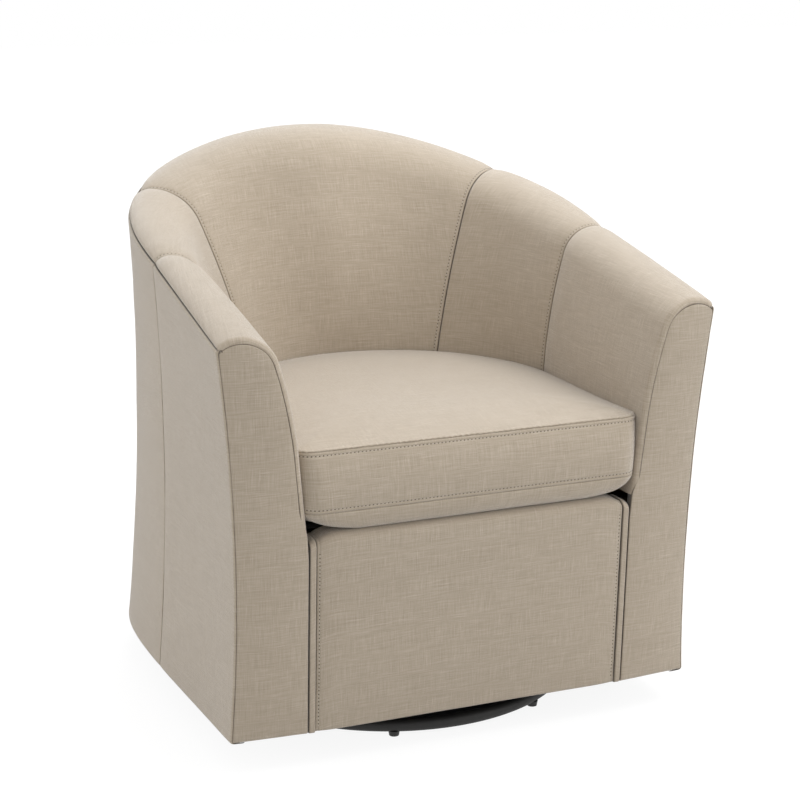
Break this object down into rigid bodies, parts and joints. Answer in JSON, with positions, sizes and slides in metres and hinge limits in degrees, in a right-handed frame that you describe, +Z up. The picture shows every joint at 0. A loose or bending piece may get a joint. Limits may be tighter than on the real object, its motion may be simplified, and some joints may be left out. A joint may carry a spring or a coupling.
{
  "type": "swivel armchair",
  "caption": "Upholstered barrel armchair with sloping arms and a loose boxed seat cushion, on a low black ring base with a ball bearing swivel.",
  "frame": {"origin": "centre of the bounding box on the floor", "axes": "+Z up, the chair faces -Y, +X is to the right of someone who looks at its front"},
  "size_m": [0.7768, 0.7717, 0.846],
  "materials": {
    "linen_body": "plain woven slub linen look, warm light greige",
    "linen_cushion": "plain woven slub linen look, warm light greige",
    "black_lining_cloth": "thin black lining cloth",
    "padding_foam": "open cell foam, cream",
    "zipper_tape": "coil zipper on tape, greige",
    "frame_wood": "sawn hardwood, unfinished",
    "plywood": "plywood, unfinished",
    "spring_steel": "drawn steel wire, dull",
    "zinc_fastener": "zinc plated steel",
    "swivel_plate_paint": "satin black paint",
    "bearing_steel": "polished steel balls",
    "bearing_cage_plastic": "moulded nylon, natural",
    "black_ring_paint": "satin black paint",
    "black_glide_plastic": "moulded black plastic"
  },
  "bodies": {
    "base": {"base_ring": "black_ring_paint", "floor_glides": "black_glide_plastic", "base_cross_bars": "black_ring_paint", "lower_swivel_plate": "swivel_plate_paint", "base_plate_screws": "zinc_fastener", "lower_ball_race": "swivel_plate_paint", "swivel_centre_rivet": "zinc_fastener"},
    "bearing": {"bearing_balls": "bearing_steel", "ball_cage": "bearing_cage_plastic"},
    "chair": {"upper_ball_race": "swivel_plate_paint", "upper_swivel_plate": "swivel_plate_paint", "swivel_bolts": "zinc_fastener", "swivel_tee_nuts": "zinc_fastener", "swivel_mounting_board": "plywood", "lower_front_rail": "frame_wood", "lower_side_rail_left": "frame_wood", "lower_side_rail_right": "frame_wood", "lower_back_rail": "frame_wood", "upper_front_rail": "frame_wood", "seat_side_rail_left": "frame_wood", "seat_side_rail_right": "frame_wood", "seat_back_rail": "frame_wood", "seat_corner_blocks": "frame_wood", "front_post_left": "frame_wood", "front_post_right": "frame_wood", "wing_post_left": "frame_wood", "wing_post_right": "frame_wood", "back_posts": "frame_wood", "arm_top_rail_left": "frame_wood", "arm_top_rail_right": "frame_wood", "back_top_rail": "frame_wood", "front_board_left": "plywood", "front_board_right": "plywood", "sinuous_springs": "spring_steel", "spring_clips": "spring_steel", "deck_pad": "padding_foam", "deck_cover": "black_lining_cloth", "arm_foam_left": "padding_foam", "arm_foam_right": "padding_foam", "wing_foam_left": "padding_foam", "wing_foam_right": "padding_foam", "back_foam": "padding_foam", "inside_arm_cover_left": "linen_body", "inside_arm_cover_right": "linen_body", "inside_wing_cover_left": "linen_body", "inside_wing_cover_right": "linen_body", "inside_back_cover": "linen_body", "outside_arm_cover_left": "linen_body", "outside_arm_cover_right": "linen_body", "outside_back_cover": "linen_body", "arm_front_cover_left": "linen_body", "arm_front_cover_right": "linen_body", "apron_cover": "linen_body", "apron_welt_left": "linen_body", "apron_welt_right": "linen_body", "apron_pad": "padding_foam", "dust_cover": "black_lining_cloth"},
    "cushion": {"seat_cushion_cover": "linen_cushion", "seat_cushion_core": "padding_foam", "seat_cushion_zipper": "zipper_tape"}
  },
  "joints": [
    {"name": "swivel", "type": "hinge", "parent": "base", "child": "chair", "pos_m": [0, -0.043, 0.0384], "axis": [0, 0, 1], "continuous": true},
    {"name": "bearing_spin", "type": "hinge", "parent": "base", "child": "bearing", "pos_m": [0, -0.043, 0.0384], "axis": [0, 0, 1], "continuous": true},
    {"name": "cushion_lift", "type": "slide", "parent": "chair", "child": "cushion", "axis": [0, 0, 1], "range_m": [0, 0.45]}
  ],
  "couplings": [
    {"joint": "bearing_spin", "follows": "swivel", "ratio": 0.5}
  ]
}
